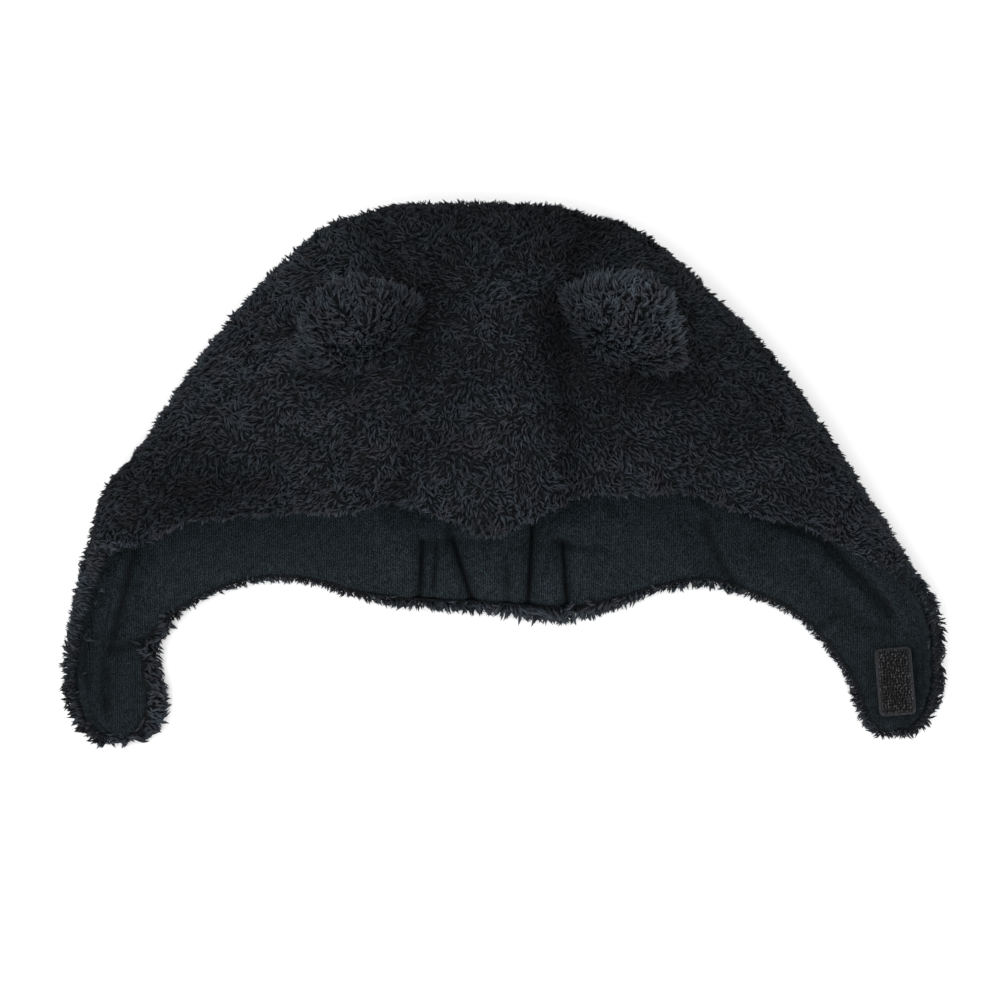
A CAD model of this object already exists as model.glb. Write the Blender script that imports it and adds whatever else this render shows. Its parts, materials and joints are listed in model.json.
"""A baby's pile-fleece hat with ears, laid on its back on a pale floor and seen from straight above.

Metres, +Z up. Picture up is +Y, which is the crown's top. Left is -X.
"""

import json
from collections import namedtuple
from math import cos, pi, radians, sin

import bpy
import numpy as np
from mathutils import Vector
from mathutils.bvhtree import BVHTree
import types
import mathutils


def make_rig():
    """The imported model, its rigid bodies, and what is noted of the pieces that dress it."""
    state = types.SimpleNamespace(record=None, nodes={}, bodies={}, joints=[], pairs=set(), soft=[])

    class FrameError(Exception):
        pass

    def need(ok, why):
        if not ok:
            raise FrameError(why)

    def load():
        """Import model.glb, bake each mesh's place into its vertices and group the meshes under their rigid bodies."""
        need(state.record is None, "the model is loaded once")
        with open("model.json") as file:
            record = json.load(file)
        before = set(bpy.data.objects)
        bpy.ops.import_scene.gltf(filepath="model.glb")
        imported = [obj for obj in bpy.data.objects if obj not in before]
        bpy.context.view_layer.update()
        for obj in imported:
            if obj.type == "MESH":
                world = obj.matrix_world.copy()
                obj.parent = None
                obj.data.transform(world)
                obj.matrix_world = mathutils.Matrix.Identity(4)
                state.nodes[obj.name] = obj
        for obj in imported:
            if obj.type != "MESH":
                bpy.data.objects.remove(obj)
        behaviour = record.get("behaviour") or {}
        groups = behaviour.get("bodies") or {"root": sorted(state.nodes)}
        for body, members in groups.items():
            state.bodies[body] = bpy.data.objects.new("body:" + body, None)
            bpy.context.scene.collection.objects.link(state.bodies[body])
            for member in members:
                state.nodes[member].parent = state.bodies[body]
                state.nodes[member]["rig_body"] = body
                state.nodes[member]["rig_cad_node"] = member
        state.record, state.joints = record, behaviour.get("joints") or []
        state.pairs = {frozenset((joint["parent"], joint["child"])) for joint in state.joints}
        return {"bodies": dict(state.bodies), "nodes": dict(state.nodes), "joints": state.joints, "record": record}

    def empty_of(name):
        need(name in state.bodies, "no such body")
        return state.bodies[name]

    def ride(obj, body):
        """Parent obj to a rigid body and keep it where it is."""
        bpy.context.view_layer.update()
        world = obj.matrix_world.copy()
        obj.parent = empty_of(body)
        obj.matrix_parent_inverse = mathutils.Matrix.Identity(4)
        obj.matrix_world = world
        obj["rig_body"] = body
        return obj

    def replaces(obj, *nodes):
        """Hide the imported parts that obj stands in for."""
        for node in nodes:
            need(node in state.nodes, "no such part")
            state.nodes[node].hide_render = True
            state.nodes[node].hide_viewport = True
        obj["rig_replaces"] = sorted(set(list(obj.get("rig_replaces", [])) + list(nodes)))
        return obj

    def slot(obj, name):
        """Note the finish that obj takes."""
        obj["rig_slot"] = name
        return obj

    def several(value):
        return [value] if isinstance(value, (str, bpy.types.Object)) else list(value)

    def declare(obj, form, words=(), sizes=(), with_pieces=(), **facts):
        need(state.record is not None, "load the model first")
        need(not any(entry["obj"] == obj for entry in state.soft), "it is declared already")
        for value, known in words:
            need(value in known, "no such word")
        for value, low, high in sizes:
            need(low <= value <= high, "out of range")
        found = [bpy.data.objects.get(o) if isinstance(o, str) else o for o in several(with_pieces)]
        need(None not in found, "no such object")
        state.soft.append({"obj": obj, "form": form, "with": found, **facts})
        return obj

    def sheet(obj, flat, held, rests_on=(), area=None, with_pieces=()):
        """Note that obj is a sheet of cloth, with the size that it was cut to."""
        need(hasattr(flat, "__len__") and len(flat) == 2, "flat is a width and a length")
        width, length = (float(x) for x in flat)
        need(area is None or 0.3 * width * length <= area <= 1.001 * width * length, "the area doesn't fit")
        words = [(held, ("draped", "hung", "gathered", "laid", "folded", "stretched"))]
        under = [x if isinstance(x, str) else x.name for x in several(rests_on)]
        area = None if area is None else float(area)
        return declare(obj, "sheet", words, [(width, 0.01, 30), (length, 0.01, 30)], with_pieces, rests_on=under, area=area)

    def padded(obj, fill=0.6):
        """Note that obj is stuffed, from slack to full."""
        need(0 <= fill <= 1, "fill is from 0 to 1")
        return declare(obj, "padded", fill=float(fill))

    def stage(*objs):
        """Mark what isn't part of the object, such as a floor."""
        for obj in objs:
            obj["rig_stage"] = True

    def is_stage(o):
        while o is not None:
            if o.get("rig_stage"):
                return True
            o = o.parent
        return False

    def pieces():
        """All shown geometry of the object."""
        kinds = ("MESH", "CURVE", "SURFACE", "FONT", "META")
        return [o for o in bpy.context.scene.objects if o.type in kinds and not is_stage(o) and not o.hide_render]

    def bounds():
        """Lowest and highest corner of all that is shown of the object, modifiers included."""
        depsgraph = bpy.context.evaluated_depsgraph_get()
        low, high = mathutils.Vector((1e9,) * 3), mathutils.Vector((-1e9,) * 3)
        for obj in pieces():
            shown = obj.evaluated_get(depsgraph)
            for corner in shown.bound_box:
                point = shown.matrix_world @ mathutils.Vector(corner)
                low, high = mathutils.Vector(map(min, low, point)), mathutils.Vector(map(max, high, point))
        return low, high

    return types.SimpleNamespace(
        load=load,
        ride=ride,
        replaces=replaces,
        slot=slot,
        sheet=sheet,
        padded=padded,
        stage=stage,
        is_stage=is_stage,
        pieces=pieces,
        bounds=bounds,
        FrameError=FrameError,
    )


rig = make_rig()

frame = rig.load()
cad_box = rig.bounds()

# The fleece shell. Three panels of charcoal polyester pile fleece on a knitted backing, seamed from
# the forehead to the nape, with the neck edge turned up over the lining. It lies on its back: the
# forehead side arches over the back of the head, and the chin flaps spread open.
HAT_WIDTH = 0.305
HAT_LENGTH = 0.190
CROWN_DEPTH = 0.058
FLAP_WIDTH = 0.030
FLAP_LENGTH = 0.057
FLAP_RISE = 0.014
BACKING = 0.0025
LOOP_TAPE_LIFT = 0.0015
FOOT_REACH = 0.8
SECTION_SAMPLES = 240
SWELL_FADE = 2.5
WALL_SPACING = 0.0028
WALL_CELLS = 64
# The shift that brings the middle of the hat's outline to the origin
MIDDLE = np.array([0.00004, 0.00090, 0.0])

# Sections from the left temple to the right one, each from the face edge over the top and round the
# fold to the neck edge, in shares of the hat's width, length and depth.
Section = namedtuple(
    "Section", "edge_x edge_y edge_z top_x top_y top_z fold_x fold_y fold_z neck_x neck_y"
)
CROWN = [
    Section(-0.405, -0.118, 0.40, -0.424, -0.078, 0.36, -0.437, -0.042, 0.20, -0.287, -0.190),
    Section(-0.355, -0.075, 0.50, -0.378, -0.020, 0.57, -0.398, 0.032, 0.26, -0.248, -0.184),
    Section(-0.300, -0.064, 0.56, -0.320, 0.042, 0.70, -0.352, 0.140, 0.31, -0.208, -0.192),
    Section(-0.236, -0.056, 0.63, -0.250, 0.120, 0.82, -0.298, 0.256, 0.36, -0.172, -0.210),
    Section(-0.174, -0.056, 0.70, -0.170, 0.185, 0.92, -0.232, 0.370, 0.39, -0.135, -0.222),
    Section(-0.118, -0.044, 0.75, -0.092, 0.240, 0.97, -0.156, 0.453, 0.41, -0.094, -0.228),
    Section(-0.067, -0.064, 0.78, -0.054, 0.250, 0.99, -0.089, 0.460, 0.42, -0.055, -0.231),
    Section(-0.019, -0.098, 0.80, -0.016, 0.250, 1.00, -0.025, 0.462, 0.42, -0.012, -0.234),
    Section(0.027, -0.071, 0.78, 0.022, 0.250, 0.99, 0.035, 0.460, 0.42, 0.029, -0.241),
    Section(0.074, -0.033, 0.77, 0.060, 0.240, 0.97, 0.093, 0.450, 0.41, 0.070, -0.243),
    Section(0.137, -0.025, 0.72, 0.138, 0.205, 0.91, 0.166, 0.390, 0.39, 0.120, -0.228),
    Section(0.199, -0.022, 0.65, 0.214, 0.150, 0.81, 0.228, 0.298, 0.36, 0.171, -0.204),
    Section(0.261, -0.056, 0.60, 0.280, 0.080, 0.72, 0.288, 0.200, 0.33, 0.222, -0.190),
    Section(0.324, -0.078, 0.53, 0.335, 0.005, 0.61, 0.338, 0.090, 0.29, 0.269, -0.208),
    Section(0.374, -0.118, 0.47, 0.381, -0.067, 0.45, 0.380, -0.012, 0.24, 0.312, -0.236),
    Section(0.420, -0.165, 0.39, 0.424, -0.138, 0.31, 0.418, -0.112, 0.18, 0.344, -0.271),
]
LEFT_SEAM = 5
RIGHT_SEAM = 9

# Sections of a chin flap from its root to its tip: outwards in flap widths, down in flap lengths, up
# in flap rises, and raised by a share of the loop tape under it.
FlapSection = namedtuple(
    "FlapSection",
    "edge_out edge_down edge_rise fold_out fold_down fold_rise neck_out neck_down lift",
)
LEFT_FLAP = [
    FlapSection(0.39, -0.13, 1.43, 0.52, -0.19, 0.64, -0.75, 0.11, 0.0),
    FlapSection(0.56, 0.05, 1.21, 0.63, 0.01, 0.57, -0.32, 0.24, 0.3),
    FlapSection(0.71, 0.27, 1.07, 0.70, 0.25, 0.50, -0.06, 0.42, 0.7),
    FlapSection(0.80, 0.52, 1.00, 0.72, 0.52, 0.43, -0.06, 0.59, 1.0),
    FlapSection(0.80, 0.77, 0.79, 0.68, 0.77, 0.36, -0.12, 0.79, 1.0),
    FlapSection(0.68, 0.92, 0.50, 0.60, 0.92, 0.29, -0.04, 0.94, 1.0),
    FlapSection(0.50, 0.99, 0.36, 0.44, 0.99, 0.25, 0.16, 1.00, 1.0),
]
RIGHT_FLAP = [
    FlapSection(0.55, -0.09, 1.36, 0.44, -0.13, 0.57, -0.39, 0.26, 0.0),
    FlapSection(0.74, 0.09, 1.07, 0.62, 0.09, 0.43, -0.21, 0.38, 0.0),
    FlapSection(0.80, 0.30, 0.80, 0.69, 0.32, 0.33, -0.08, 0.51, 0.0),
    FlapSection(0.79, 0.53, 0.65, 0.68, 0.55, 0.30, 0.01, 0.64, 0.0),
    FlapSection(0.68, 0.69, 0.50, 0.59, 0.69, 0.28, 0.10, 0.73, 0.0),
    FlapSection(0.52, 0.77, 0.32, 0.46, 0.77, 0.24, 0.23, 0.78, 0.0),
]
LEFT_ROOT = (-0.400, -0.176)
RIGHT_ROOT = (0.403, -0.231)

# Soft swells and hollows of the crown, in shares of the hat's width, length and depth
Swell = namedtuple("Swell", "x y reach_x reach_y height")
SWELLS = [
    Swell(0.000, 0.22, 0.030, 0.16, 0.040),
    Swell(-0.066, 0.15, 0.026, 0.14, -0.050),
    Swell(0.044, 0.24, 0.020, 0.12, -0.040),
    Swell(0.190, 0.06, 0.060, 0.10, 0.030),
    Swell(-0.230, 0.02, 0.050, 0.10, 0.030),
]


def with_foot(edge, top, fold, neck):
    """The points that a section passes through; the foot is where it comes down to the floor."""
    run = neck[:2] - fold[:2]
    foot = np.append(fold[:2] + run * (FOOT_REACH * fold[2] / np.linalg.norm(run)), neck[2])
    return np.array([edge, top, fold, foot, neck])


def crown_points(row):
    size = np.array([HAT_WIDTH, HAT_LENGTH, CROWN_DEPTH])
    neck = np.array([row.neck_x * HAT_WIDTH, row.neck_y * HAT_LENGTH, BACKING])
    return with_foot(size * row[0:3], size * row[3:6], size * row[6:9], neck)


def flap_points(row, root, side):
    start = np.array([root[0] * HAT_WIDTH, root[1] * HAT_LENGTH, row.lift * LOOP_TAPE_LIFT])
    size = np.array([side * FLAP_WIDTH, -FLAP_LENGTH, FLAP_RISE])
    edge, fold = start + size * row[0:3], start + size * row[3:6]
    neck = start + size * (row.neck_out, row.neck_down, 0) + (0, 0, BACKING)
    return with_foot(edge, (edge + fold) / 2, fold, neck)


def running_length(points):
    """Distance run along a row of points, or its mean over several rows."""
    steps = np.linalg.norm(np.diff(points, axis=0), axis=-1)
    steps = steps.mean(axis=1) if steps.ndim > 1 else steps
    return np.concatenate([[0], np.cumsum(steps)])


def smooth_through(knots, values, at):
    """A smooth curve through values at knots, read at the places in at."""
    slopes = np.gradient(values, knots, axis=0)
    i = np.clip(np.searchsorted(knots, at) - 1, 0, len(knots) - 2)
    shape = (-1,) + (1,) * (values.ndim - 1)
    gap = (knots[i + 1] - knots[i]).reshape(shape)
    t = (at - knots[i]).reshape(shape) / gap
    start = (2 * t**3 - 3 * t**2 + 1) * values[i] + (t**3 - 2 * t**2 + t) * gap * slopes[i]
    return start + (3 * t**2 - 2 * t**3) * values[i + 1] + (t**3 - t**2) * gap * slopes[i + 1]


SECTIONS = np.array(
    [flap_points(row, LEFT_ROOT, -1) for row in reversed(LEFT_FLAP)]
    + [crown_points(row) for row in CROWN]
    + [flap_points(row, RIGHT_ROOT, 1) for row in RIGHT_FLAP]
)
KNOTS = running_length(SECTIONS)
SEAMS = (KNOTS[len(LEFT_FLAP) + LEFT_SEAM], KNOTS[len(LEFT_FLAP) + RIGHT_SEAM])
PANELS = {"left": (0, SEAMS[0]), "centre": SEAMS, "right": (SEAMS[1], KNOTS[-1])}


def even_shares(cells):
    return np.linspace(0, 1, cells + 1)


def bell(*distances):
    """1 where every distance is 0, falling smoothly to 0 beyond 1."""
    return np.exp(-sum(distance**2 for distance in distances))


def at_distances(curve, length, distances):
    """Points of a curve at distances along it, from the length run up to each of its own points."""
    return np.stack([np.interp(distances, length, curve[:, k]) for k in range(3)], -1)


def section_points(v, shares):
    """The section at v as points at shares of the way from the face edge to the neck edge."""
    controls = smooth_through(KNOTS, SECTIONS, np.array([v]))[0]
    steps = np.linalg.norm(np.diff(controls, axis=0), axis=1)
    knots = np.concatenate([[0], np.cumsum(np.sqrt(steps))])
    curve = smooth_through(knots, controls, np.linspace(0, knots[-1], SECTION_SAMPLES))
    curve[:, 2] = np.maximum(curve[:, 2], controls[-1, 2])
    for swell in SWELLS:
        dx = (curve[:, 0] / HAT_WIDTH - swell.x) / swell.reach_x
        dy = (curve[:, 1] / HAT_LENGTH - swell.y) / swell.reach_y
        upper = np.clip(curve[:, 2] / CROWN_DEPTH * SWELL_FADE - 1, 0, 1)
        curve[:, 2] += swell.height * CROWN_DEPTH * upper * bell(dx, dy)
    length = running_length(curve)
    return at_distances(curve, length, shares * length[-1]) + MIDDLE


def unit(vectors):
    return vectors / np.linalg.norm(vectors, axis=-1)[..., None]


def cloth_grid(start, end, spacing, shares):
    """Points and outward normals of the cloth from start to end along the cap, as grids."""
    places = np.linspace(start, end, max(3, round((end - start) / spacing)) + 1)
    grid = np.array([section_points(v, shares) for v in places])
    before = section_points(max(start - spacing, 0), shares)
    after = section_points(min(end + spacing, KNOTS[-1]), shares)
    wider = np.concatenate([[before], grid, [after]])
    return places, grid, unit(np.cross(wider[2:] - wider[:-2], np.gradient(grid, axis=1)))


def grid_faces(rows, columns):
    index = np.arange(rows * columns).reshape(rows, columns)
    faces = np.stack([index[:-1, :-1], index[1:, :-1], index[1:, 1:], index[:-1, 1:]], -1)
    return faces.reshape(-1, 4)


def new_mesh(name, points, faces, smooth=True):
    mesh = bpy.data.meshes.new(name)
    mesh.from_pydata(np.reshape(points, (-1, 3)).tolist(), [], faces)
    if smooth:
        mesh.shade_smooth()
    return mesh


def wall_mesh(name, outer, inner):
    """A closed wall between two grids of points. The outer skin's vertices come first."""
    rows, columns = outer.shape[:2]
    shift = rows * columns
    index = np.arange(shift).reshape(rows, columns)
    skin = grid_faces(rows, columns)
    border = np.concatenate([index[:, 0], index[-1, 1:], index[-2::-1, -1], index[0, -2:0:-1]])
    after = np.roll(border, -1)
    rim = np.stack([after, border, border + shift, after + shift], -1)
    faces = np.concatenate([skin, skin[:, ::-1] + shift, rim])
    return new_mesh(name, [outer, inner], faces.tolist())


def new_object(name, data):
    obj = bpy.data.objects.new(name, data)
    bpy.context.scene.collection.objects.link(obj)
    return obj


def add_piece(mesh, material, slot_name):
    """A finished piece of the hat, riding on its one body."""
    mesh.materials.clear()
    mesh.materials.append(material)
    obj = new_object(mesh.name, mesh)
    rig.ride(obj, "root")
    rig.slot(obj, slot_name)
    return obj


class Value:
    """A shader socket that takes part in Python expressions."""

    def __init__(self, tree, socket=None):
        self.tree, self.socket = tree, socket

    def make(self, kind, settings, inputs, output=0):
        """Any node: its settings first, then its inputs by name or number."""
        node = self.tree.nodes.new(kind)
        for name, setting in settings.items():
            setattr(node, name, setting)
        for name, value in inputs.items():
            if isinstance(value, Value):
                self.tree.links.new(value.socket, node.inputs[name])
            else:
                node.inputs[name].default_value = value
        return Value(self.tree, node.outputs[output])

    def maths(self, operation, *values):
        return self.make("ShaderNodeMath", {"operation": operation}, dict(enumerate(values)))

    def __add__(self, other):
        return self.maths("ADD", self, other)

    def __sub__(self, other):
        return self.maths("SUBTRACT", self, other)

    def __rsub__(self, other):
        return self.maths("SUBTRACT", other, self)

    def __mul__(self, other):
        return self.maths("MULTIPLY", self, other)

    def __truediv__(self, other):
        return self.maths("DIVIDE", self, other)

    def __rtruediv__(self, other):
        return self.maths("DIVIDE", other, self)

    def __pow__(self, other):
        return self.maths("POWER", self, other)

    __radd__ = __add__
    __rmul__ = __mul__

    def sine(self):
        return self.maths("SINE", self)

    def limited(self):
        return self.maths("MINIMUM", self.maths("MAXIMUM", self, 0.0), 1.0)

    def outputs(self, count):
        """The first outputs of this socket's node."""
        return [Value(self.tree, self.socket.node.outputs[i]) for i in range(count)]

    def mix(self, first, second):
        """A colour from first to second by this value."""
        inputs = {0: self, 6: first, 7: second}
        return self.make("ShaderNodeMix", {"data_type": "RGBA"}, inputs, 2)

    def vector(self, operation, inputs, output=0):
        inputs[0] = self
        return self.make("ShaderNodeVectorMath", {"operation": operation}, inputs, output)

    def scaled(self, amount):
        """This colour or vector, longer or shorter by an amount."""
        return self.vector("SCALE", {3: amount})

    def plus(self, other):
        return self.vector("ADD", {1: other})

    def less(self, other):
        return self.vector("SUBTRACT", {1: other})

    def dot(self, other):
        return self.vector("DOT_PRODUCT", {1: other}, 1)

    def noise(self, place, scale, detail=2.0):
        inputs = {"Vector": place, "Scale": scale, "Detail": detail}
        return self.make("ShaderNodeTexNoise", {}, inputs)

    def attribute(self, name):
        return self.make("ShaderNodeAttribute", {"attribute_name": name}, {}, 2)

    def object_place(self):
        return self.make("ShaderNodeTexCoord", {}, {}, 3)

    def bump(self, strength, distance, height):
        inputs = {"Strength": strength, "Distance": distance, "Height": height}
        return self.make("ShaderNodeBump", {}, inputs)


def new_material(name, roughness, specular):
    """A material with its constants set, and a Value to start its expressions from."""
    material = bpy.data.materials.new(name)
    material.use_nodes = True
    shader = material.node_tree.nodes["Principled BSDF"]
    shader.inputs["Roughness"].default_value = roughness
    shader.inputs["Specular IOR Level"].default_value = specular
    return material, shader.inputs, Value(material.node_tree)


def feed(material, socket, value):
    material.node_tree.links.new(value.socket, socket)


SKIN_PROUD = 0.0024
SKIN_FLAT = 0.0013
SEAM_DIP = 0.0022
SEAM_WIDTH = 0.0050
HEM_EDGE = 0.0006
HEM_HEIGHT = 0.0018
LINING_SETBACK = 0.0011
FLAP_TUCK = 0.0030
FLAP_TUCK_RUN = 0.030
FACE_ROLL = 0.0003
ROLL_RISE = {"left": 0.0004, "centre": 0.0019, "right": 0.0004}
UNDERCOAT_DARK = (0.0050, 0.0056, 0.0064, 1)
UNDERCOAT_LIGHT = (0.0120, 0.0132, 0.0148, 1)
UNDERCOAT_GRAIN = 900.0

backing, backing_in, value = new_material("fleece_backing", 1.0, 0.1)
undercoat = value.noise(value.object_place(), UNDERCOAT_GRAIN).mix(UNDERCOAT_DARK, UNDERCOAT_LIGHT)
feed(backing, backing_in["Base Color"], undercoat)


def at_seams(places):
    """1 on the crown's two seams, falling to 0 beside them."""
    return bell(np.minimum(abs(places - SEAMS[0]), abs(places - SEAMS[1])) / SEAM_WIDTH)


def fleece_skin(grid, normal, places):
    """The skin that the pile grows from: dipped at the seams and flat on the floor."""
    skin = grid + normal * (SKIN_PROUD - SEAM_DIP * at_seams(places)[:, None, None])
    skin[..., 2] = np.maximum(skin[..., 2], SKIN_FLAT)
    return skin


def hem_tuck(places, side):
    """How far the fleece rolls over the lining at the neck edge; most on the left flap."""
    if side != "left":
        return np.full(len(places), LINING_SETBACK)
    return LINING_SETBACK + FLAP_TUCK * np.clip(2 - places / FLAP_TUCK_RUN, 0, 1)


def along_sections(grid, distance, from_neck):
    """The point at a distance from one edge of each section."""
    found = []
    for section, run in zip(grid, distance):
        section = section[::-1] if from_neck else section
        found.append(at_distances(section, running_length(section), run))
    return np.array(found)


def neck_roll(places, grid, normal, side):
    """Where the fleece's neck edge comes to rest, turned up and over the edge of the lining."""
    rolled = along_sections(grid, hem_tuck(places, side), True)
    return rolled - normal[:, -1] * (HEM_HEIGHT + ROLL_RISE[side])


def cut_size(wall):
    """The size that a panel's cloth was cut to, as its longest run each way, and its area."""
    along, across = np.diff(wall, axis=0), np.diff(wall, axis=1)
    area = np.linalg.norm(np.cross(along[:, 1:], across[1:]), axis=2).sum()
    runs = [np.linalg.norm(along, axis=2).sum(axis=0), np.linalg.norm(across, axis=2).sum(axis=1)]
    return {"flat": [round(float(run.max()), 4) for run in runs], "area": round(float(area), 5)}


fleece, fleece_cut = {}, {}
for side, (start, end) in PANELS.items():
    places, grid, normal = cloth_grid(start, end, WALL_SPACING, even_shares(WALL_CELLS))
    skin = fleece_skin(grid, normal, places)
    fleece_cut[side] = cut_size((skin + grid) / 2)
    rolled, edge = neck_roll(places, grid, normal, side), normal[:, -1]
    outer = [skin, (grid[:, -1] - edge * HEM_HEIGHT)[:, None], rolled[:, None]]
    inner = [grid, (grid[:, -1] - edge * HEM_EDGE)[:, None], (rolled + edge * HEM_EDGE)[:, None]]
    mesh = wall_mesh("fleece_" + side, np.concatenate(outer, 1), np.concatenate(inner, 1))
    fleece[side] = add_piece(mesh, backing, "pile_fleece")
    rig.replaces(fleece[side], "centre_panel" if side == "centre" else "side_panel_" + side)

# The pile. Soft polyester curls stand out of the fleece in small blunt tufts, combed outwards and
# down towards the hems and swirled by wear. They are longest at the nape and the chin flaps. Each
# tuft is two bent wisps, grown over the fleece and its hems by Geometry Nodes.
WISPS = 2
WISP_RADIUS = 0.120
WISP_SPREAD = 0.160
WISP_BEND = 0.58
WISP_TURN = 0.15
WISP_SHORTEST = 0.78
WISP_RINGS = ((0.0, 0.55), (0.66, 1.0), (1.0, 0.0))
TUFT_KINDS = 4
TUFT_SEED = 20
PILE_GAP = (0.0052, 0.0062, 0.0078, 1)
PILE_COOL = (0.0455, 0.0580, 0.0700, 1)
PILE_WARM = (0.0480, 0.0470, 0.0560, 1)
TIP_FADE = 1.6
DRIFT_GRAIN = 130.0
STRAND_GRAIN = 2400.0
PATCH_GRAIN = 75.0

pile, pile_in, value = new_material("fleece_pile", 0.85, 0.08)
tint = value.attribute("tint")
place = value.object_place()
drift = value.noise(place, DRIFT_GRAIN) - 0.5
tip_colour = (drift * 3.0 + tint * 0.5 + 0.3).limited().mix(PILE_WARM, PILE_COOL)
colour = (value.attribute("tip") ** TIP_FADE).mix(PILE_GAP, tip_colour)
strands = value.noise(place, STRAND_GRAIN, 1.0) - 0.5
patches = value.noise(place, PATCH_GRAIN, 3.0) - 0.5
# How light a tuft is, with what its own tint, its strands and the patch around it add
depth = 0.60 + tint * 0.50 + strands * 1.3 + patches * 0.9
feed(pile, pile_in["Base Color"], colour.scaled(depth * value.attribute("tone")))


def tuft_mesh(name, seed):
    """One tuft of unit length along +Z: three-sided wisps that share a tip bent towards +X."""
    rng = np.random.default_rng(seed)
    points, faces, tips = [], [], []
    for wisp in range(WISPS):
        turn = 2 * pi * (wisp / WISPS + rng.uniform(-WISP_TURN, WISP_TURN))
        lean = np.array([cos(turn), sin(turn), 0]) * WISP_SPREAD
        height = rng.uniform(WISP_SHORTEST, 1.0)
        first = len(points)
        for share, width in WISP_RINGS:
            middle = lean * (1 - 0.5 * share) + (WISP_BEND * share**2, 0, height * share)
            for corner in range(3 if width else 1):
                angle = turn + 2 * pi * corner / 3
                side = np.array([cos(angle), sin(angle), 0]) * WISP_RADIUS * width
                points.append(middle + side)
                tips.append(share)
        for corner in range(3):
            a, b = first + corner, first + (corner + 1) % 3
            faces += [(a, b, b + 3, a + 3), (a + 3, b + 3, first + 6)]
    mesh = new_mesh(name, points, faces)
    set_attribute(mesh, "tip", "FLOAT", tips)
    return mesh


def set_attribute(mesh, name, kind, values):
    attribute = mesh.attributes.new(name, kind, "POINT")
    attribute.data.foreach_set("vector" if kind == "FLOAT_VECTOR" else "value", np.ravel(values))


tufts = bpy.data.collections.new("tufts")
for kind in range(TUFT_KINDS):
    tuft = tuft_mesh(f"tuft_{kind}", TUFT_SEED + kind)
    tufts.objects.link(bpy.data.objects.new(tuft.name, tuft))


def new_tree(name, inputs):
    """A Geometry Nodes tree with named inputs: the tree, each input's identifier and its value."""
    tree = bpy.data.node_groups.new(name, "GeometryNodeTree")
    identifiers = {}
    for key, kind in inputs.items():
        socket = tree.interface.new_socket(key, in_out="INPUT", socket_type="NodeSocket" + kind)
        identifiers[key] = socket.identifier
    tree.interface.new_socket("Geometry", in_out="OUTPUT", socket_type="NodeSocketGeometry")
    source = tree.nodes.new("NodeGroupInput")
    return tree, identifiers, {key: Value(tree, source.outputs[key]) for key in inputs}


PILE_INPUTS = {"Geometry": "Geometry", "Tufts": "Collection", "Material": "Material", "Seed": "Int"}
PILE_INPUTS |= dict.fromkeys(("Spacing", "Length", "Swirl", "Ruffle"), "Float")
pile_tree, pile_sockets, given = new_tree("grow_pile", PILE_INPUTS)
grow = Value(pile_tree)
CLUMP_SIZE = 0.0030
CLUMP_PULL = 0.32
WEAR_GRAIN = 130.0
TUFTS_TRIED = 2.4
TUFT_SHORTEST = 0.64
TUFT_LONGEST = 1.18
TUFT_TWIST = 1.0


def field(name, kind="FLOAT"):
    """A named attribute of the ground that the pile grows on."""
    return grow.make("GeometryNodeInputNamedAttribute", {"data_type": kind}, {"Name": name})


def random_number(low, high, seed):
    inputs = {2: low, 3: high, "Seed": seed}
    return grow.make("FunctionNodeRandomValue", {"data_type": "FLOAT"}, inputs, 1)


def random_turn(most, seed):
    """A turn about the instance's own length, by up to an angle either way."""
    inputs = {"Axis": (0, 0, 1), "Angle": random_number(-most, most, seed)}
    return grow.make("FunctionNodeAxisAngleToRotation", {}, inputs)


def random_vector(low, high, seed):
    inputs = {0: low, 1: high, "Seed": seed}
    return grow.make("FunctionNodeRandomValue", {"data_type": "FLOAT_VECTOR"}, inputs)


def end_tree(tree, instances, material, seed):
    """The tree's end: instances get a random tint each, and become one mesh of one material."""
    grown = grow.make(
        "GeometryNodeStoreNamedAttribute",
        {"data_type": "FLOAT", "domain": "INSTANCE"},
        {"Geometry": instances, "Name": "tint", "Value": random_number(0.0, 1.0, seed)},
    )
    grown = grow.make("GeometryNodeRealizeInstances", {}, {"Geometry": grown})
    grown = grow.make("GeometryNodeSetMaterial", {}, {"Geometry": grown, "Material": material})
    tree.links.new(grown.socket, tree.nodes.new("NodeGroupOutput").inputs[0])


def run_tree(tree, identifiers, mesh, settings):
    """The plain mesh that a tree makes of a mesh."""
    obj = new_object(mesh.name, mesh)
    modifier = obj.modifiers.new(tree.name, "NODES")
    modifier.node_group = tree
    for key, setting in settings.items():
        modifier[identifiers[key]] = setting
    graph = bpy.context.evaluated_depsgraph_get()
    made = bpy.data.meshes.new_from_object(obj.evaluated_get(graph))
    bpy.data.objects.remove(obj)
    return made


here = grow.make("GeometryNodeInputPosition", {}, {})
roots = grow.make(
    "GeometryNodeDistributePointsOnFaces",
    {"distribute_method": "POISSON"},
    {
        "Mesh": given["Geometry"],
        "Distance Min": given["Spacing"],
        "Density Max": TUFTS_TRIED / (given["Spacing"] * given["Spacing"]),
        "Density Factor": field("cover"),
        "Seed": given["Seed"],
    },
)
wear = grow.make("ShaderNodeTexNoise", {}, {"Vector": here, "Scale": WEAR_GRAIN}, 1)
wear = wear.less((0.5, 0.5, 0.5))
clump = grow.make("ShaderNodeTexVoronoi", {}, {"Vector": here, "Scale": 1 / CLUMP_SIZE}, 2)
loose = random_vector((-1, -1, -1), (1, 1, 1), 3)
roots, upright = roots.outputs(2)
lie = field("comb", "FLOAT_VECTOR").plus(wear.scaled(given["Swirl"]))
lie = lie.less(upright.scaled(lie.dot(upright)))
gathered = clump.less(here).scaled(CLUMP_PULL / CLUMP_SIZE)
towards = upright.scaled(field("stand")).plus(lie).plus(gathered)
towards = towards.plus(loose.scaled(given["Ruffle"]))
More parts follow.
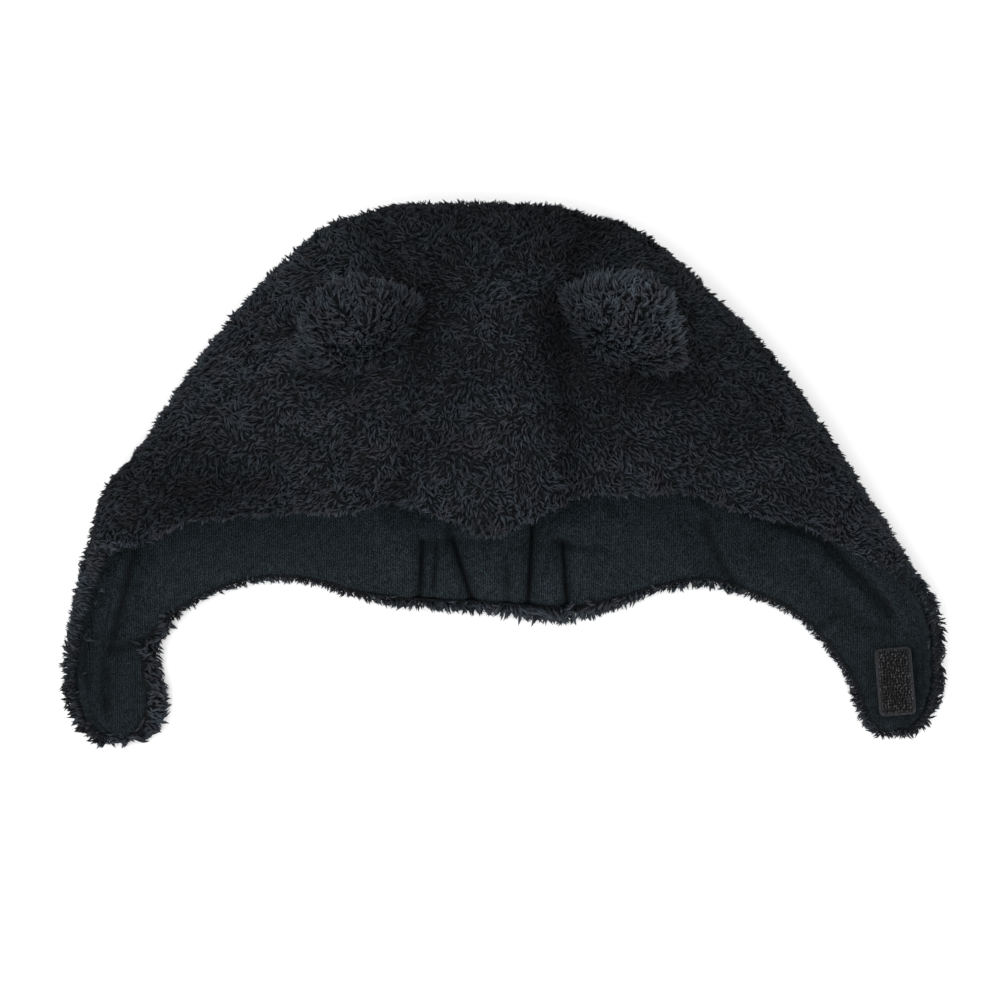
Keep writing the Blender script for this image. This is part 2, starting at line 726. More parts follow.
turned = grow.make("FunctionNodeAlignRotationToVector", {"axis": "Z"}, {"Vector": towards})
turned = grow.make(
    "FunctionNodeAlignRotationToVector",
    {"axis": "X", "pivot_axis": "Z"},
    {"Rotation": turned, "Vector": lie},
)
turned = grow.make(
    "FunctionNodeRotateRotation",
    {"rotation_space": "LOCAL"},
    {"Rotation": turned, "Rotate By": random_turn(TUFT_TWIST, 5)},
)
length = given["Length"] * field("reach") * random_number(TUFT_SHORTEST, TUFT_LONGEST, 7)
kinds = grow.make(
    "GeometryNodeCollectionInfo",
    {},
    {"Collection": given["Tufts"], "Separate Children": True, "Reset Children": True},
)
grown = grow.make(
    "GeometryNodeInstanceOnPoints",
    {},
    {
        "Points": roots,
        "Instance": kinds,
        "Pick Instance": True,
        "Rotation": turned,
        "Scale": grow.make("ShaderNodeCombineXYZ", {}, {0: length, 1: length, 2: length}),
    },
)
end_tree(pile_tree, grown, given["Material"], 11)

FLOOR_REST = 0.0008
FLOOR_PRESS = 3


def grow_pile(name, ground, spacing, length, swirl, ruffle, seed):
    """Tufts grown on a ground mesh, as a plain mesh that is pressed down where it meets the floor."""
    inputs = {"Spacing": spacing, "Length": length, "Swirl": swirl, "Ruffle": ruffle, "Seed": seed}
    inputs |= {"Tufts": tufts, "Material": pile}
    mesh = run_tree(pile_tree, pile_sockets, ground, inputs)
    points = np.empty(len(mesh.vertices) * 3)
    mesh.vertices.foreach_get("co", points)
    height = points[2::3]
    low = height < FLOOR_REST
    height[low] = FLOOR_REST * np.exp((height[low] - FLOOR_REST) / FLOOR_REST / FLOOR_PRESS)
    mesh.vertices.foreach_set("co", points)
    for unused in ("cover", "comb", "stand", "reach"):
        mesh.attributes.remove(mesh.attributes[unused])
    mesh.name = name
    return mesh


def set_fields(mesh, cover, comb, stand, reach, tone):
    """How the pile covers, lies, stands and reaches at each point of the ground, and its tone."""
    set_attribute(mesh, "cover", "FLOAT", cover)
    set_attribute(mesh, "comb", "FLOAT_VECTOR", comb)
    set_attribute(mesh, "stand", "FLOAT", stand)
    set_attribute(mesh, "reach", "FLOAT", reach)
    set_attribute(mesh, "tone", "FLOAT", tone)


PILE_SPACING = 0.00082
PILE_LENGTH = 0.0031
PILE_SWIRL = 2.6
PILE_RUFFLE = 0.42
GROUND_SPACING = 0.0035
GROUND_CELLS = 60
PARTING = (0.0, 0.052)
PARTING_WIDTH = 0.035
COMB = 0.32
HEM_COMB = 0.45
ROLL_COMB = 0.38
HEM_STAND = 0.9
HEM_TONE = 1.25
HEM_BAND = 0.009
FACE_TURN = 0.5
FLAP_FACE_TURN = 1.3
UNDERSIDE_COVER = 0.04
UNDERSIDE_STAND = 0.15
UNDERSIDE_SLOPE = -0.6
SEAM_SHADE = 0.42
# Fields of pile, with where each runs along its panel, and how far the pile reaches at the face edge
# and at a flap's tip
Field = namedtuple("Field", "side first last edge_reach tip_reach")
PILE_FIELDS = {
    "pile_left_flap": Field("left", 0.0, 0.36, 1.18, 1.08),
    "pile_left": Field("left", 0.36, 1.0, 1.08, 0),
    "pile_centre": Field("centre", 0.0, 1.0, 1.08, 0),
    "pile_right": Field("right", 0.0, 0.64, 1.08, 0),
    "pile_right_flap": Field("right", 0.64, 1.0, 0.80, 0.85),
}

# Picture pixels for each metre of the floor, and the place in the middle of the picture. The tables
# of fringe, nap, folds and creases give their x and y in picture pixels.
PIXELS = 2907.0
PICTURE_MIDDLE = np.array([-0.00136, -0.00760])

# How far the pile reaches past the neck edge, by where it is across the picture
NECK_FRINGE = [(137, 1.41), (166, 1.36), (180, 0.85), (335, 0.85), (395, 1.24), (500, 1.36)]
NECK_FRINGE += [(530, 1.81), (592, 1.81), (640, 1.07), (730, 1.02), (790, 0.68), (838, 0.85)]
NECK_FRINGE += [(875, 1.19)]

# Places where the nap leans away from the light or into it, with their reach in pixels and their tone
Nap = namedtuple("Nap", "x y reach_x reach_y tone")
NAPS = [
    Nap(575, 215, 240, 62, -0.60),
    Nap(205, 488, 95, 46, -0.58),
    Nap(850, 470, 70, 60, -0.20),
    Nap(566, 390, 50, 60, -0.30),
    Nap(700, 370, 130, 100, -0.40),
    Nap(452, 370, 30, 90, -0.26),
    Nap(438, 300, 22, 40, -0.34),
    Nap(548, 335, 22, 36, -0.42),
    Nap(650, 392, 46, 12, -0.36),
    Nap(345, 395, 46, 12, -0.26),
    Nap(512, 400, 26, 90, 0.10),
    Nap(330, 430, 90, 50, 0.04),
    Nap(620, 480, 130, 26, 0.06),
]


def outward_from_parting(points):
    """The way that the pile is combed in plan: away from the parting at the top of the crown."""
    away = points[..., :2] - PARTING
    away /= np.maximum(np.linalg.norm(away, axis=-1), PARTING_WIDTH)[..., None]
    return np.concatenate([away, np.zeros(away.shape[:-1] + (1,))], axis=-1)


def in_picture(points):
    """The pixels of the picture where points of the floor show."""
    return (500, 500) + (points[..., :2] - PICTURE_MIDDLE) * (PIXELS, -PIXELS)


def nap_tone(points):
    x, y = np.moveaxis(in_picture(points), -1, 0)
    tone = np.ones(x.shape)
    for nap in NAPS:
        tone += nap.tone * bell((x - nap.x) / nap.reach_x, (y - nap.y) / nap.reach_y)
    return tone


def pile_ground(name, row):
    """The skin under a field of pile and its hems, with the fields that the pile follows."""
    start, end = PANELS[row.side]
    first, last = start + (end - start) * row.first, start + (end - start) * row.last
    places, grid, normal = cloth_grid(first, last, GROUND_SPACING, even_shares(GROUND_CELLS))
    skin = fleece_skin(grid, normal, places)
    inner = grid - normal * HEM_HEIGHT
    from_neck = neck_roll(places, grid, normal, row.side)
    from_face = along_sections(grid, np.full(len(grid), FACE_ROLL), False)
    from_face -= normal[:, 0] * HEM_HEIGHT
    fringe = np.interp(in_picture(grid[:, -1])[:, 0], *zip(*NECK_FRINGE))
    rows, columns = skin.shape[:2]
    comb = outward_from_parting(skin)
    comb -= normal * np.sum(comb * normal, axis=2)[..., None]
    whole = np.linalg.norm(np.diff(grid, axis=1), axis=2).sum(axis=1)[:, None]
    to_neck = (1 - even_shares(GROUND_CELLS)) * whole
    under = (normal[..., 2] < UNDERSIDE_SLOPE) & (skin[..., 2] < SKIN_FLAT * 1.2)
    cover = np.where(under & (to_neck > HEM_BAND), UNDERSIDE_COVER, 1.0)
    points, faces = [skin.reshape(-1, 3)], grid_faces(rows, columns).tolist()
    tone = (1 - SEAM_SHADE * at_seams(places)[:, None]) * nap_tone(skin)
    reach = np.where(under, fringe[:, None], 1.0)
    fields = [np.dstack([cover, comb * COMB, np.where(under, UNDERSIDE_STAND, 1.0), reach, tone])]
    hems = [(skin[:, 0], inner[:, 0], from_face, grid[:, 0] - grid[:, 1], row.edge_reach)]
    hems.append((skin[:, -1], inner[:, -1], from_neck, grid[:, -1] - grid[:, -2], fringe))
    if row.tip_reach:
        end, beside = (0, 1) if row.side == "left" else (-1, -2)
        outward = grid[end] - grid[beside]
        rolled = inner[end] - unit(outward) * LINING_SETBACK
        hems.append((skin[end], inner[end], rolled, outward, row.tip_reach))
    face_turn = FLAP_FACE_TURN if row.tip_reach else FACE_TURN
    count = rows * columns
    for high, low, rolled, outward, reach in hems:
        strip = grid_faces(3, len(high)) + count
        if np.dot(np.cross(low[0] - high[0], high[1] - high[0]), outward[0]) < 0:
            strip = strip[:, ::-1]
        faces += strip.tolist()
        points += [high, low, rolled]
        count += 3 * len(high)
        combs, stand = [unit(outward) * lean for lean in (HEM_COMB, HEM_COMB, ROLL_COMB)], HEM_STAND
        if rolled is from_face:
            combs, stand = [normal[:, 0] * face_turn] * 3, 1.0 - 0.5 * face_turn
        ones = np.ones(len(high))
        for comb in combs:
            fields.append(np.column_stack([ones, comb, ones * stand, ones * reach, ones * HEM_TONE]))
    fields = np.concatenate([values.reshape(-1, 7) for values in fields])
    mesh = new_mesh(name + "_ground", np.concatenate(points), faces, smooth=False)
    set_fields(mesh, fields[:, 0], fields[:, 1:4], fields[:, 4], fields[:, 5], fields[:, 6])
    return mesh


pile_on = {side: [] for side in PANELS}
for seed, (name, row) in enumerate(PILE_FIELDS.items()):
    ground = pile_ground(name, row)
    grown = grow_pile(name, ground, PILE_SPACING, PILE_LENGTH, PILE_SWIRL, PILE_RUFFLE, seed)
    pile_on[row.side].append(add_piece(grown, pile, "pile_fleece"))

for side, cloth in fleece.items():
    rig.sheet(cloth, held="laid", rests_on=["floor"], with_pieces=pile_on[side], **fleece_cut[side])

# The lining. Dark teal cotton jersey in three panels with fine upright wales, turned in and sewn to
# the fleece at the hems. An elastic in a stitched channel draws it into puffs at the nape, and it
# lies in soft folds where the flaps turn.
LINING_GAP = 0.0004
LINING_THICKNESS = 0.0010
LINING_REST = 0.0014
HEM_ROUNDING = 0.0028
WALE_PITCH = 0.00076
COURSE_PITCH = 0.00060
WALE_WANDER = 0.0009
FUZZ_GRAIN = 1900.0
WORN_GRAIN = 420.0
LINING_SPACING = {"left": 0.0011, "centre": 0.00036, "right": 0.0011}
LINING_CELLS = 110
NECK_CROWDING = 0.55
LYING_SLOPE = -0.25
LYING_FADE = 0.3
LYING_HEIGHT = 0.018
FLAP_SHADE = 0.30
# The picture's pixels down which the flaps darken
FLAP_SHADE_FROM = 590
FLAP_SHADE_RUN = 70
JERSEY_DARK = (0.0022, 0.0035, 0.0042, 1)
JERSEY_LIGHT = (0.0225, 0.0345, 0.0410, 1)
PUFF_HEIGHT = 0.0042
PUFF_BESIDE = 0.008
PUFF_ABOVE = 0.010
PUFF_CREASE = 0.60
PUFF_ROUND = 3.8
CREASE_DARK = 0.70
CREASE_FINE = 0.72
PUFF_DARK = 0.28
PUFF_DARK_WIDTH = 0.0042
PUFF_LIGHT = 0.20
PUFF_TUCK = 0.0013
PUFF_TUCK_WIDTH = 0.0019
FOLD_DARK = 230.0
FOLD_LIGHTEST = 0.0006

# The channel's top, and its creases from there to the hem, with the share of the puffs that each cuts
Crease = namedtuple("Crease", "x0 y0 x1 y1 width depth")
CHANNEL = Crease(421, 541, 570, 543, 0.0014, 0.30)
CREASES = [
    Crease(423, 541, 420, 604, 0.0008, 0.95),
    Crease(438, 543, 434, 588, 0.0008, 0.60),
    Crease(453, 538, 472, 600, 0.0007, 1.00),
    Crease(506, 556, 508, 606, 0.0012, 0.45),
    Crease(533, 505, 528, 606, 0.0007, 1.00),
    Crease(549, 548, 547, 570, 0.0009, 0.25),
    Crease(562, 541, 567, 606, 0.0007, 0.95),
]
# Ridges and grooves elsewhere, along their points, with their reach to each side and their height
Fold = namedtuple("Fold", "points reach height")
FOLDS = [
    Fold([(452, 505), (449, 538)], 0.0012, -0.0014),
    Fold([(547, 534), (560, 544), (602, 549)], 0.0011, -0.0013),
    Fold([(575, 520), (600, 512)], 0.0060, 0.0016),
    Fold([(610, 500), (614, 512)], 0.0016, -0.0012),
    Fold([(695, 508), (712, 540), (731, 580)], 0.0032, 0.0024),
    Fold([(703, 522), (722, 566), (736, 588)], 0.0019, -0.0027),
    Fold([(686, 520), (706, 560), (722, 586)], 0.0048, -0.0011),
    Fold([(745, 508), (820, 536), (864, 583), (888, 612)], 0.0020, -0.0028),
    Fold([(760, 545), (800, 575), (850, 612)], 0.0060, -0.0012),
    Fold([(775, 500), (845, 540), (893, 592), (914, 630)], 0.0042, 0.0022),
    Fold([(774, 542), (805, 583)], 0.0040, 0.0012),
    Fold([(819, 626), (838, 611)], 0.0009, -0.0014),
    Fold([(823, 634), (842, 618)], 0.0016, 0.0010),
    Fold([(858, 625), (889, 630)], 0.0022, -0.0012),
    Fold([(380, 520), (392, 560)], 0.0040, 0.0009),
    Fold([(120, 560), (98, 620), (90, 690), (103, 720)], 0.0034, 0.0022),
    Fold([(136, 550), (124, 600), (111, 652)], 0.0010, -0.0030),
    Fold([(142, 556), (131, 602), (120, 645)], 0.0034, -0.0009),
    Fold([(111, 652), (152, 638)], 0.0011, -0.0018),
    Fold([(108, 668), (107, 706)], 0.0018, -0.0014),
    Fold([(131, 668), (132, 706)], 0.0018, 0.0012),
]


def on_floor(x, y):
    """The place on the floor that shows at a pixel of the picture."""
    return PICTURE_MIDDLE + np.array([x - 500, 500 - y]) / PIXELS


def distance_to(plan, line):
    """Distance in plan from points to a line through pixels of the picture."""
    ends = [on_floor(x, y) for x, y in line]
    nearest = np.full(plan.shape[:-1], np.inf)
    for a, b in zip(ends, ends[1:]):
        t = np.clip((plan - a) @ (b - a) / ((b - a) @ (b - a)), 0, 1)
        nearest = np.minimum(nearest, np.linalg.norm(plan - a - t[..., None] * (b - a), axis=-1))
    return nearest


def lining_lift(plan):
    """How far the puffs and folds raise the lining off the fleece, and how light it is there."""
    top = on_floor(CHANNEL.x0, CHANNEL.y0)
    left, right = top[0], on_floor(CHANNEL.x1, 0)[0]
    beyond = np.maximum(np.maximum(left - plan[..., 0], plan[..., 0] - right), 0)
    above = np.maximum(plan[..., 1] - top[1], 0)
    puff = PUFF_HEIGHT * bell(beyond / PUFF_BESIDE, above / PUFF_ABOVE)
    light = np.ones(plan.shape[:-1])
    for crease in (CHANNEL, *CREASES):
        away = distance_to(plan, [(crease.x0, crease.y0), (crease.x1, crease.y1)])
        share = PUFF_CREASE * bell(away / crease.width)
        share += (1 - PUFF_CREASE) * bell(away / crease.width / PUFF_ROUND)
        puff = puff * (1 - crease.depth * share)
        light = light * (1 - crease.depth * CREASE_DARK * bell(away / crease.width / CREASE_FINE))
        light = light * (1 - crease.depth * PUFF_DARK * bell(away / PUFF_DARK_WIDTH))
    light = light * (1 + PUFF_LIGHT * puff / PUFF_HEIGHT)
    lift = LINING_REST + puff
    for fold in FOLDS:
        share = bell(distance_to(plan, fold.points) / fold.reach)
        lift = lift + fold.height * share
        light = light * (1 + FOLD_DARK * min(fold.height, FOLD_LIGHTEST) * share)
    return np.maximum(lift, 0), light


def crease_tuck(edge):
    """How far each crease draws the lining's neck edge in, so that the puffs end round."""
    x = in_picture(edge)[:, 0] / PIXELS
    tuck = np.zeros(len(edge))
    for crease in CREASES:
        tuck += crease.depth * bell((x - crease.x1 / PIXELS) / PUFF_TUCK_WIDTH)
    return PUFF_TUCK * tuck


jersey, jersey_in, value = new_material("lining_jersey", 0.9, 0.13)
grain = value.make("ShaderNodeUVMap", {"uv_map": "grain"}, {})
across, down = value.make("ShaderNodeSeparateXYZ", {}, {0: grain}).outputs(2)
place = value.object_place()
fuzz = value.noise(place, FUZZ_GRAIN) - 0.5
patchy = value.noise(place, WORN_GRAIN, 3.0) - 0.5
wale = ((across + patchy * WALE_WANDER) * (2 * pi / WALE_PITCH)).sine()
course = (down * (2 * pi / COURSE_PITCH)).sine()
knit = wale * 0.5 + wale * course * 0.3 + fuzz * 2.2
shade = (0.30 + fuzz * 3.0 + wale * 0.26 + patchy * 0.8).limited()
shade = shade.mix(JERSEY_DARK, JERSEY_LIGHT).scaled(value.attribute("depth"))
feed(jersey, jersey_in["Base Color"], shade)
feed(jersey, jersey_in["Normal"], value.bump(0.6, 0.0003, knit))


def lay_grain(mesh, grid, normal, side):
    """A UV map in metres, with the wales upright in the picture and carried on up the side walls."""
    layer = np.where(normal[..., 2] < 0, 1.0, -1.0)
    turn = {"left": -1, "centre": 0, "right": 1}[side]
    flat = np.dstack([grid[..., 0] + turn * layer * grid[..., 2], grid[..., 1] - layer * grid[..., 2]])
    flat = np.concatenate([flat.reshape(-1, 2)] * 2)
    corner = np.empty(len(mesh.loops), dtype=int)
    mesh.loops.foreach_get("vertex_index", corner)
    mesh.uv_layers.new(name="grain").data.foreach_set("uv", flat[corner].ravel())


def neck_weighted(cells):
    """Shares of a section that crowd towards the neck edge, where the lining shows."""
    t = even_shares(cells)
    return t + NECK_CROWDING * np.sin(pi * t) / pi


lining = {}
for side, (start, end) in PANELS.items():
    if side == "left":
        start += LINING_SETBACK
    if side == "right":
        end -= LINING_SETBACK
    places, grid, normal = cloth_grid(start, end, LINING_SPACING[side], neck_weighted(LINING_CELLS))
    run = np.linalg.norm(np.diff(grid, axis=1), axis=2).cumsum(axis=1)
    run = np.concatenate([np.zeros((len(grid), 1)), run], axis=1)
    to_edge = np.minimum(run, run[:, -1:] - run)
    lying = np.clip((LYING_SLOPE - normal[..., 2]) / LYING_FADE, 0, 1)
    lying = lying * (grid[..., 2] < LYING_HEIGHT)
    lift, light = lining_lift(grid[..., :2])
    light = 1 + (light - 1) * lying
    down = (in_picture(grid)[..., 1] - FLAP_SHADE_FROM) / FLAP_SHADE_RUN
    light = light * (1 - FLAP_SHADE * np.clip(down, 0, 1))
    lift = lift * lying * (1 - np.exp(-to_edge / HEM_ROUNDING))
    tucked = (hem_tuck(places, side) + crease_tuck(grid[:, -1]))[:, None]
    trim = np.clip(run, LINING_SETBACK, run[:, -1:] - tucked)
    for j in range(len(grid)):
        grid[j] = at_distances(grid[j], run[j], trim[j])
    outer = grid - normal * LINING_GAP
    inner = grid - normal * (LINING_GAP + LINING_THICKNESS + lift)[..., None]
    mesh = wall_mesh("jersey_" + side, outer, inner)
    lay_grain(mesh, grid, normal, side)
    set_attribute(mesh, "depth", "FLOAT", np.concatenate([np.ones(light.size), light.ravel()]))
    lining[side] = add_piece(mesh, jersey, "knit_lining")
    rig.replaces(lining[side], "lining_" + side)
    held = "gathered" if side == "centre" else "laid"
    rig.sheet(lining[side], held=held, rests_on=["fleece_" + side], **cut_size((outer + inner) / 2))

# The fastener. A rounded rectangle of hook tape sewn inside the right flap, and a patch of loop tape
# under the left one. Both are woven nylon: the hooks stand up in close rows between plain selvedges.
HOOK_PITCH = 0.00098
HOOK_HEIGHT = 0.0013
HOOK_WIRE = 0.00024
HOOK_CURL = 0.00090
HOOK_SIDES = 3
HOOK_TWIST = 0.6
HOOK_SHIFT = (0.00022, 0.00022, 0.0001)
HOOK_SHIFT_BACK = (-0.00022, -0.00022, -0.0002)
SELVEDGE = 0.0011
WEAVE_GRAIN = 9000.0
STITCH_INSET = 0.00075
STITCH_LENGTH = 0.0017
STITCH_WIDTH = 0.00042
STITCH_SEAT = 0.00005
STITCH_HEIGHT = 0.00035
TAPE_DARK = (0.0060, 0.0064, 0.0072, 1)
TAPE_LIGHT = (0.0420, 0.0450, 0.0490, 1)
TAPE_BED = (0.0022, 0.0022, 0.0026, 1)
HOOK_DARK = (0.0050, 0.0052, 0.0060, 1)
HOOK_LIGHT = (0.0850, 0.0880, 0.0960, 1)


def tape_plane(node):
    """The middle of a CAD patch's upper face, and its short, long and upward directions."""
    points = np.array([vertex.co[:] for vertex in bpy.data.objects[node].data.vertices])
    centre = (points.min(axis=0) + points.max(axis=0)) / 2
    long, up = np.linalg.svd(points - centre)[2][[0, 2]]
    up = up * np.sign(up[2])
    long = long * np.sign(long[1])
    short = np.cross(long, up)
    offsets = (points - centre) @ np.array([short, long, up]).T
    half = (offsets.max(axis=0) - offsets.min(axis=0)) / 2
    centre = centre + (offsets.max(axis=0) + offsets.min(axis=0)) / 2 @ np.array([short, long, up])
    return centre + up * half[2], short, long, up, half


centre, short, long, up, half = tape_plane("hook_patch")

tape, tape_in, value = new_material("fastener_tape", 0.8, 0.3)
place = value.object_place()
x, y = value.make("ShaderNodeSeparateXYZ", {}, {0: place}).outputs(2)
weave = ((x + y) * WEAVE_GRAIN).sine() * ((x - y) * WEAVE_GRAIN).sine()
shade = (0.40 + weave * 0.3 + (value.noise(place, 1500.0) - 0.5) * 1.6).limited()
from_middle = place.less(centre.tolist())
to_side = half[0] - value.maths("ABSOLUTE", from_middle.dot(short.tolist()))
to_end = half[1] - value.maths("ABSOLUTE", from_middle.dot(long.tolist()))
bed = (value.maths("MINIMUM", to_side, to_end + SELVEDGE / 2) / SELVEDGE - 0.7).limited()
feed(tape, tape_in["Base Color"], bed.mix(shade.mix(TAPE_DARK, TAPE_LIGHT), TAPE_BED))
feed(tape, tape_in["Normal"], value.bump(0.5, 0.0002, weave))

hooks, hooks_in, value = new_material("fastener_hooks", 0.45, 0.4)
tint = value.attribute("tint")
feed(hooks, hooks_in["Base Color"], (tint ** 2.5).mix(HOOK_DARK, HOOK_LIGHT))


def hook_mesh():
    """One hook of bent wire, standing on its place and curled over towards +Y."""
    middles = [(0, 0, 0), (0, 0, 0.7), (0, 0.35, 1.0), (0, 0.75, 0.75)]
    points, faces = [], []
    for ring, (x, y, z) in enumerate(middles):
        lean = pi / 2 * min(ring, 2) / 2
        for corner in range(HOOK_SIDES):
            angle = 2 * pi * corner / HOOK_SIDES
            across, along = cos(angle) * HOOK_WIRE, sin(angle) * HOOK_WIRE
            points.append(
                (x + across, y * HOOK_CURL + along * cos(lean), z * HOOK_HEIGHT - along * sin(lean))
            )
    for ring in range(len(middles) - 1):
        for corner in range(HOOK_SIDES):
            a = ring * HOOK_SIDES + corner
            b = ring * HOOK_SIDES + (corner + 1) % HOOK_SIDES
            faces.append((a, b, b + HOOK_SIDES, a + HOOK_SIDES))
    last = (len(middles) - 1) * HOOK_SIDES
    faces += [tuple(range(HOOK_SIDES))[::-1], tuple(range(last, last + HOOK_SIDES))]
    return new_mesh("hook", points, faces)


HOOK_INPUTS = {"Geometry": "Geometry", "Hook": "Object", "Material": "Material"}
HOOK_INPUTS |= {"Rows": "Int", "Columns": "Int", "Width": "Float", "Length": "Float"}
hook_tree, hook_sockets, given = new_tree("stand_hooks", HOOK_INPUTS)
grow = Value(hook_tree)
field_grid = grow.make(
    "GeometryNodeMeshGrid",
    {},
    {
        "Size X": given["Width"],
        "Size Y": given["Length"],
        "Vertices X": given["Columns"],
        "Vertices Y": given["Rows"],
    },
)
jitter = random_vector(HOOK_SHIFT_BACK, HOOK_SHIFT, 2)
moved = grow.make("GeometryNodeSetPosition", {}, {"Geometry": field_grid, "Offset": jitter})
hook_shape = grow.make(
    "GeometryNodeObjectInfo", {"transform_space": "ORIGINAL"}, {"Object": given["Hook"]}, 4
)
stood = grow.make(
    "GeometryNodeInstanceOnPoints",
    {},
    {"Points": moved, "Instance": hook_shape, "Rotation": random_turn(HOOK_TWIST, 4)},
)
end_tree(hook_tree, stood, given["Material"], 6)

for node in ("hook_patch", "loop_patch"):
    bpy.data.objects[node].data.materials.clear()
    bpy.data.objects[node].data.materials.append(tape)

width, length = 2 * (half[0] - SELVEDGE), 2 * (half[1] - SELVEDGE)
hook = bpy.data.objects.new("hook", hook_mesh())
hook_settings = {
    "Hook": hook,
    "Material": hooks,
    "Rows": round(length / HOOK_PITCH) + 1,
    "Columns": round(width / HOOK_PITCH) + 1,
    "Width": width,
    "Length": length,
}
mesh = run_tree(hook_tree, hook_sockets, bpy.data.meshes.new("hook_field"), hook_settings)
bpy.data.objects.remove(hook)
points = np.empty(len(mesh.vertices) * 3)
mesh.vertices.foreach_get("co", points)
points = centre + points.reshape(-1, 3) @ np.array([short, long, up])
mesh.vertices.foreach_set("co", points.ravel())
mesh.name = "hook_patch_hooks"
add_piece(mesh, hooks, "hook_tape")

# Stitches run round the patch just inside its edge.
corners = np.array([(1, 1), (-1, 1), (-1, -1), (1, -1)]) * (half[:2] - STITCH_INSET)
points, faces = [], []
for a, b in zip(corners, np.roll(corners, -1, axis=0)):
    count = round(np.linalg.norm(b - a) / STITCH_LENGTH)
    for stitch in range(count):
        start, end = (a + (b - a) * (stitch + share) / count for share in (0.12, 0.88))
        ahead = unit(end - start)
        aside = np.array([-ahead[1], ahead[0]]) * STITCH_WIDTH / 2
        first = len(points)
        for share, rise in ((0.0, 0.0), (0.5, 1.0), (1.0, 0.0)):
            middle = start + (end - start) * share
            for side, lift in ((1, 0.0), (0, 1.0), (-1, 0.0)):
                plan = middle + aside * side
                lift = STITCH_SEAT + STITCH_HEIGHT * (lift * 0.6 + rise * 0.4)
                points.append(centre + short * plan[0] + long * plan[1] + up * lift)
            if share:
                n = len(points) - 6
                faces += [(n, n + 3, n + 4, n + 1), (n + 1, n + 4, n + 5, n + 2)]
mesh = new_mesh("hook_patch_stitches", points, [face[::-1] for face in faces])
add_piece(mesh, tape, "hook_tape")

# The ears. Two stuffed half-discs of the same fleece, sewn flat across the top of the crown and bent
# back. Their short dense pile is combed up over the rim, where it catches the light.
EAR_WIDTH = 0.0425
EAR_HEIGHT = 0.0325
EAR_THICKNESS = 0.0075
EAR_LEAN = radians(78.0)
EAR_CUP = 0.006
EAR_PILE = 0.0046
EAR_SPACING = 0.00080
EAR_SWIRL = 2.2
EAR_RUFFLE = 0.60
EAR_COMB = 0.5
EAR_COMB_RISE = 2.6
EAR_COMB_STEP = 0.03
EAR_COMB_SPREAD = 1.02
EAR_MIDDLE = 0.4
EAR_BARE_BELOW = -0.3
EAR_ROWS = 22
EAR_COLUMNS = 40
EarPlace = namedtuple("EarPlace", "x y turn tone")
EAR_PLACES = {
    "ear_left": EarPlace(-0.151, 0.228, radians(28.0), 0.76),
    "ear_right": EarPlace(0.122, 0.238, radians(-32.0), 0.92),
}


def ear_point(x, y, z, place, ground):
    """Where a point of a unit ball goes in the ear: bent back, cupped and seated on the fleece."""
    angle = EAR_LEAN * max(z, 0)
    depth = y * EAR_THICKNESS / 2 + EAR_CUP * (x * x - 0.5)
    a = x * EAR_WIDTH / 2
    b = EAR_HEIGHT * (1 - cos(angle)) / EAR_LEAN + depth * cos(angle)
    height = EAR_HEIGHT * sin(angle) / EAR_LEAN - depth * sin(angle)
    base = np.array([place.x * HAT_WIDTH, place.y * HAT_LENGTH]) + MIDDLE[:2]
    along = np.array([cos(place.turn), sin(place.turn)])
    back = np.array([-sin(place.turn), cos(place.turn)])
    foot = base + a * along + depth * back
    seat = ground.ray_cast((foot[0], foot[1], 1), (0, 0, -1))[0].z
    return (*(base + a * along + b * back), seat + height)


def unit_ball():
    """Points and faces of a ball of radius 1, in rings from its foot to its top."""
    points, faces = [(0, 0, -1)], []
    for ring in range(1, EAR_ROWS):
        polar = pi * ring / EAR_ROWS
        for column in range(EAR_COLUMNS):
            around = 2 * pi * column / EAR_COLUMNS
            points.append((sin(polar) * cos(around), sin(polar) * sin(around), -cos(polar)))
    points.append((0, 0, 1))
    top = len(points) - 1
    for column in range(EAR_COLUMNS):
        beside = (column + 1) % EAR_COLUMNS
        faces.append((0, 1 + beside, 1 + column))
        for low in range(1, top - EAR_COLUMNS, EAR_COLUMNS):
            high = low + EAR_COLUMNS
            faces.append((low + column, low + beside, high + beside, high + column))
        faces.append((high + column, high + beside, top))
    return points, faces


def ear_mesh(name, place, ground):
    """The ear's stuffed body, with the pile combed from its base up over its rim."""
    ball, faces = unit_ball()
    points, comb = [], []
    middle = Vector((*ear_point(0, 0, EAR_MIDDLE, place, ground)[:2], 0))
    for x, y, z in ball:
        here = Vector(ear_point(x, y, z, place, ground))
        ahead = ear_point(x * EAR_COMB_SPREAD, y, min(z + EAR_COMB_STEP, 1), place, ground)
        plan = Vector((here.x, here.y, 0)) - middle
        upward = min(max(z * EAR_COMB_RISE, 0), 1)
        comb.append((Vector(ahead) - here).normalized() * upward + plan.normalized() * (1 - upward))
        points.append(here)
    mesh = new_mesh(name, points, faces)
    rise = np.array(ball)[:, 2]
    cover = (rise > EAR_BARE_BELOW) * 1.0
    stand = np.full(len(rise), HEM_STAND)
    tone = place.tone * (0.70 + 0.90 * np.clip(rise, 0, 1))
    set_fields(mesh, cover, np.array(comb) * EAR_COMB, stand, 0.9 + 0.1 * rise, tone)
    return mesh


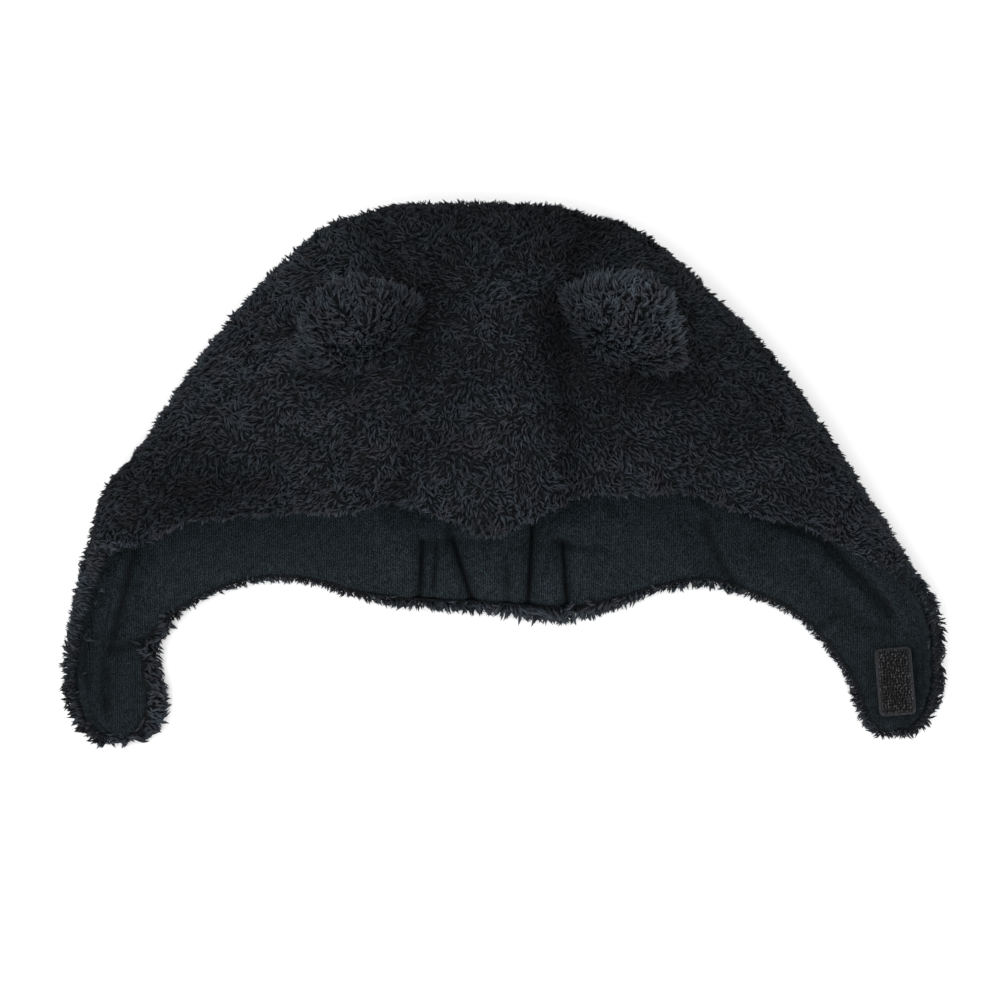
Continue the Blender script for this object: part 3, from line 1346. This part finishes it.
shell_points, shell_faces = [], []
for piece in fleece.values():
    shell_faces += [[i + len(shell_points) for i in face.vertices] for face in piece.data.polygons]
    shell_points += [vertex.co.copy() for vertex in piece.data.vertices]
shell_tree = BVHTree.FromPolygons(shell_points, shell_faces)

for seed, (name, place) in enumerate(EAR_PLACES.items()):
    mesh = ear_mesh(name + "_body", place, shell_tree)
    grown = grow_pile(name + "_pile", mesh, EAR_SPACING, EAR_PILE, EAR_SWIRL, EAR_RUFFLE, seed)
    body = add_piece(mesh, backing, "pile_fleece")
    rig.replaces(body, name)
    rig.padded(body, fill=0.7)
    add_piece(grown, pile, "pile_fleece")

for tuft in list(tufts.objects):
    bpy.data.objects.remove(tuft)

# Floor, light and camera. The photo is taken from straight above on plain white, in soft even light.
FLOOR_HALF = 1.5
KEY_PLACE = Vector((-0.32, 0.02, 1.60))
KEY_SIZE = 1.5
KEY_POWER = 13.0
SKY_STRENGTH = 1.20
CAMERA_HEIGHT = 1.29

paper, paper_in = new_material("floor_paper", 0.9, 0.1)[:2]
paper_in["Base Color"].default_value = (0.96, 0.96, 0.96, 1)
corners = np.array([(-1, -1, 0), (1, -1, 0), (1, 1, 0), (-1, 1, 0)]) * FLOOR_HALF
floor = new_object("floor", new_mesh("floor", corners, [(0, 1, 2, 3)]))
floor.data.materials.append(paper)
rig.stage(floor)

world = bpy.data.worlds.new("studio")
bpy.context.scene.world = world
world.use_nodes = True
world.node_tree.nodes["Background"].inputs["Color"].default_value = (1, 1, 1, 1)
world.node_tree.nodes["Background"].inputs["Strength"].default_value = SKY_STRENGTH

lamp = bpy.data.lights.new("key", "AREA")
lamp.size = KEY_SIZE
lamp.energy = KEY_POWER
key = new_object("key", lamp)
key.location = KEY_PLACE
key.rotation_euler = (-KEY_PLACE).to_track_quat("-Z", "Y").to_euler()

camera = bpy.data.cameras.new("camera")
camera.lens = 135
camera.sensor_width = 36
eye = new_object("camera", camera)
eye.location = (*PICTURE_MIDDLE, CAMERA_HEIGHT)
bpy.context.scene.camera = eye
bpy.context.scene.view_settings.view_transform = "Standard"

with open("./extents.json", "w") as file:
    json.dump({"cad": [list(c) for c in cad_box], "visual": [list(c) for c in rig.bounds()]}, file)
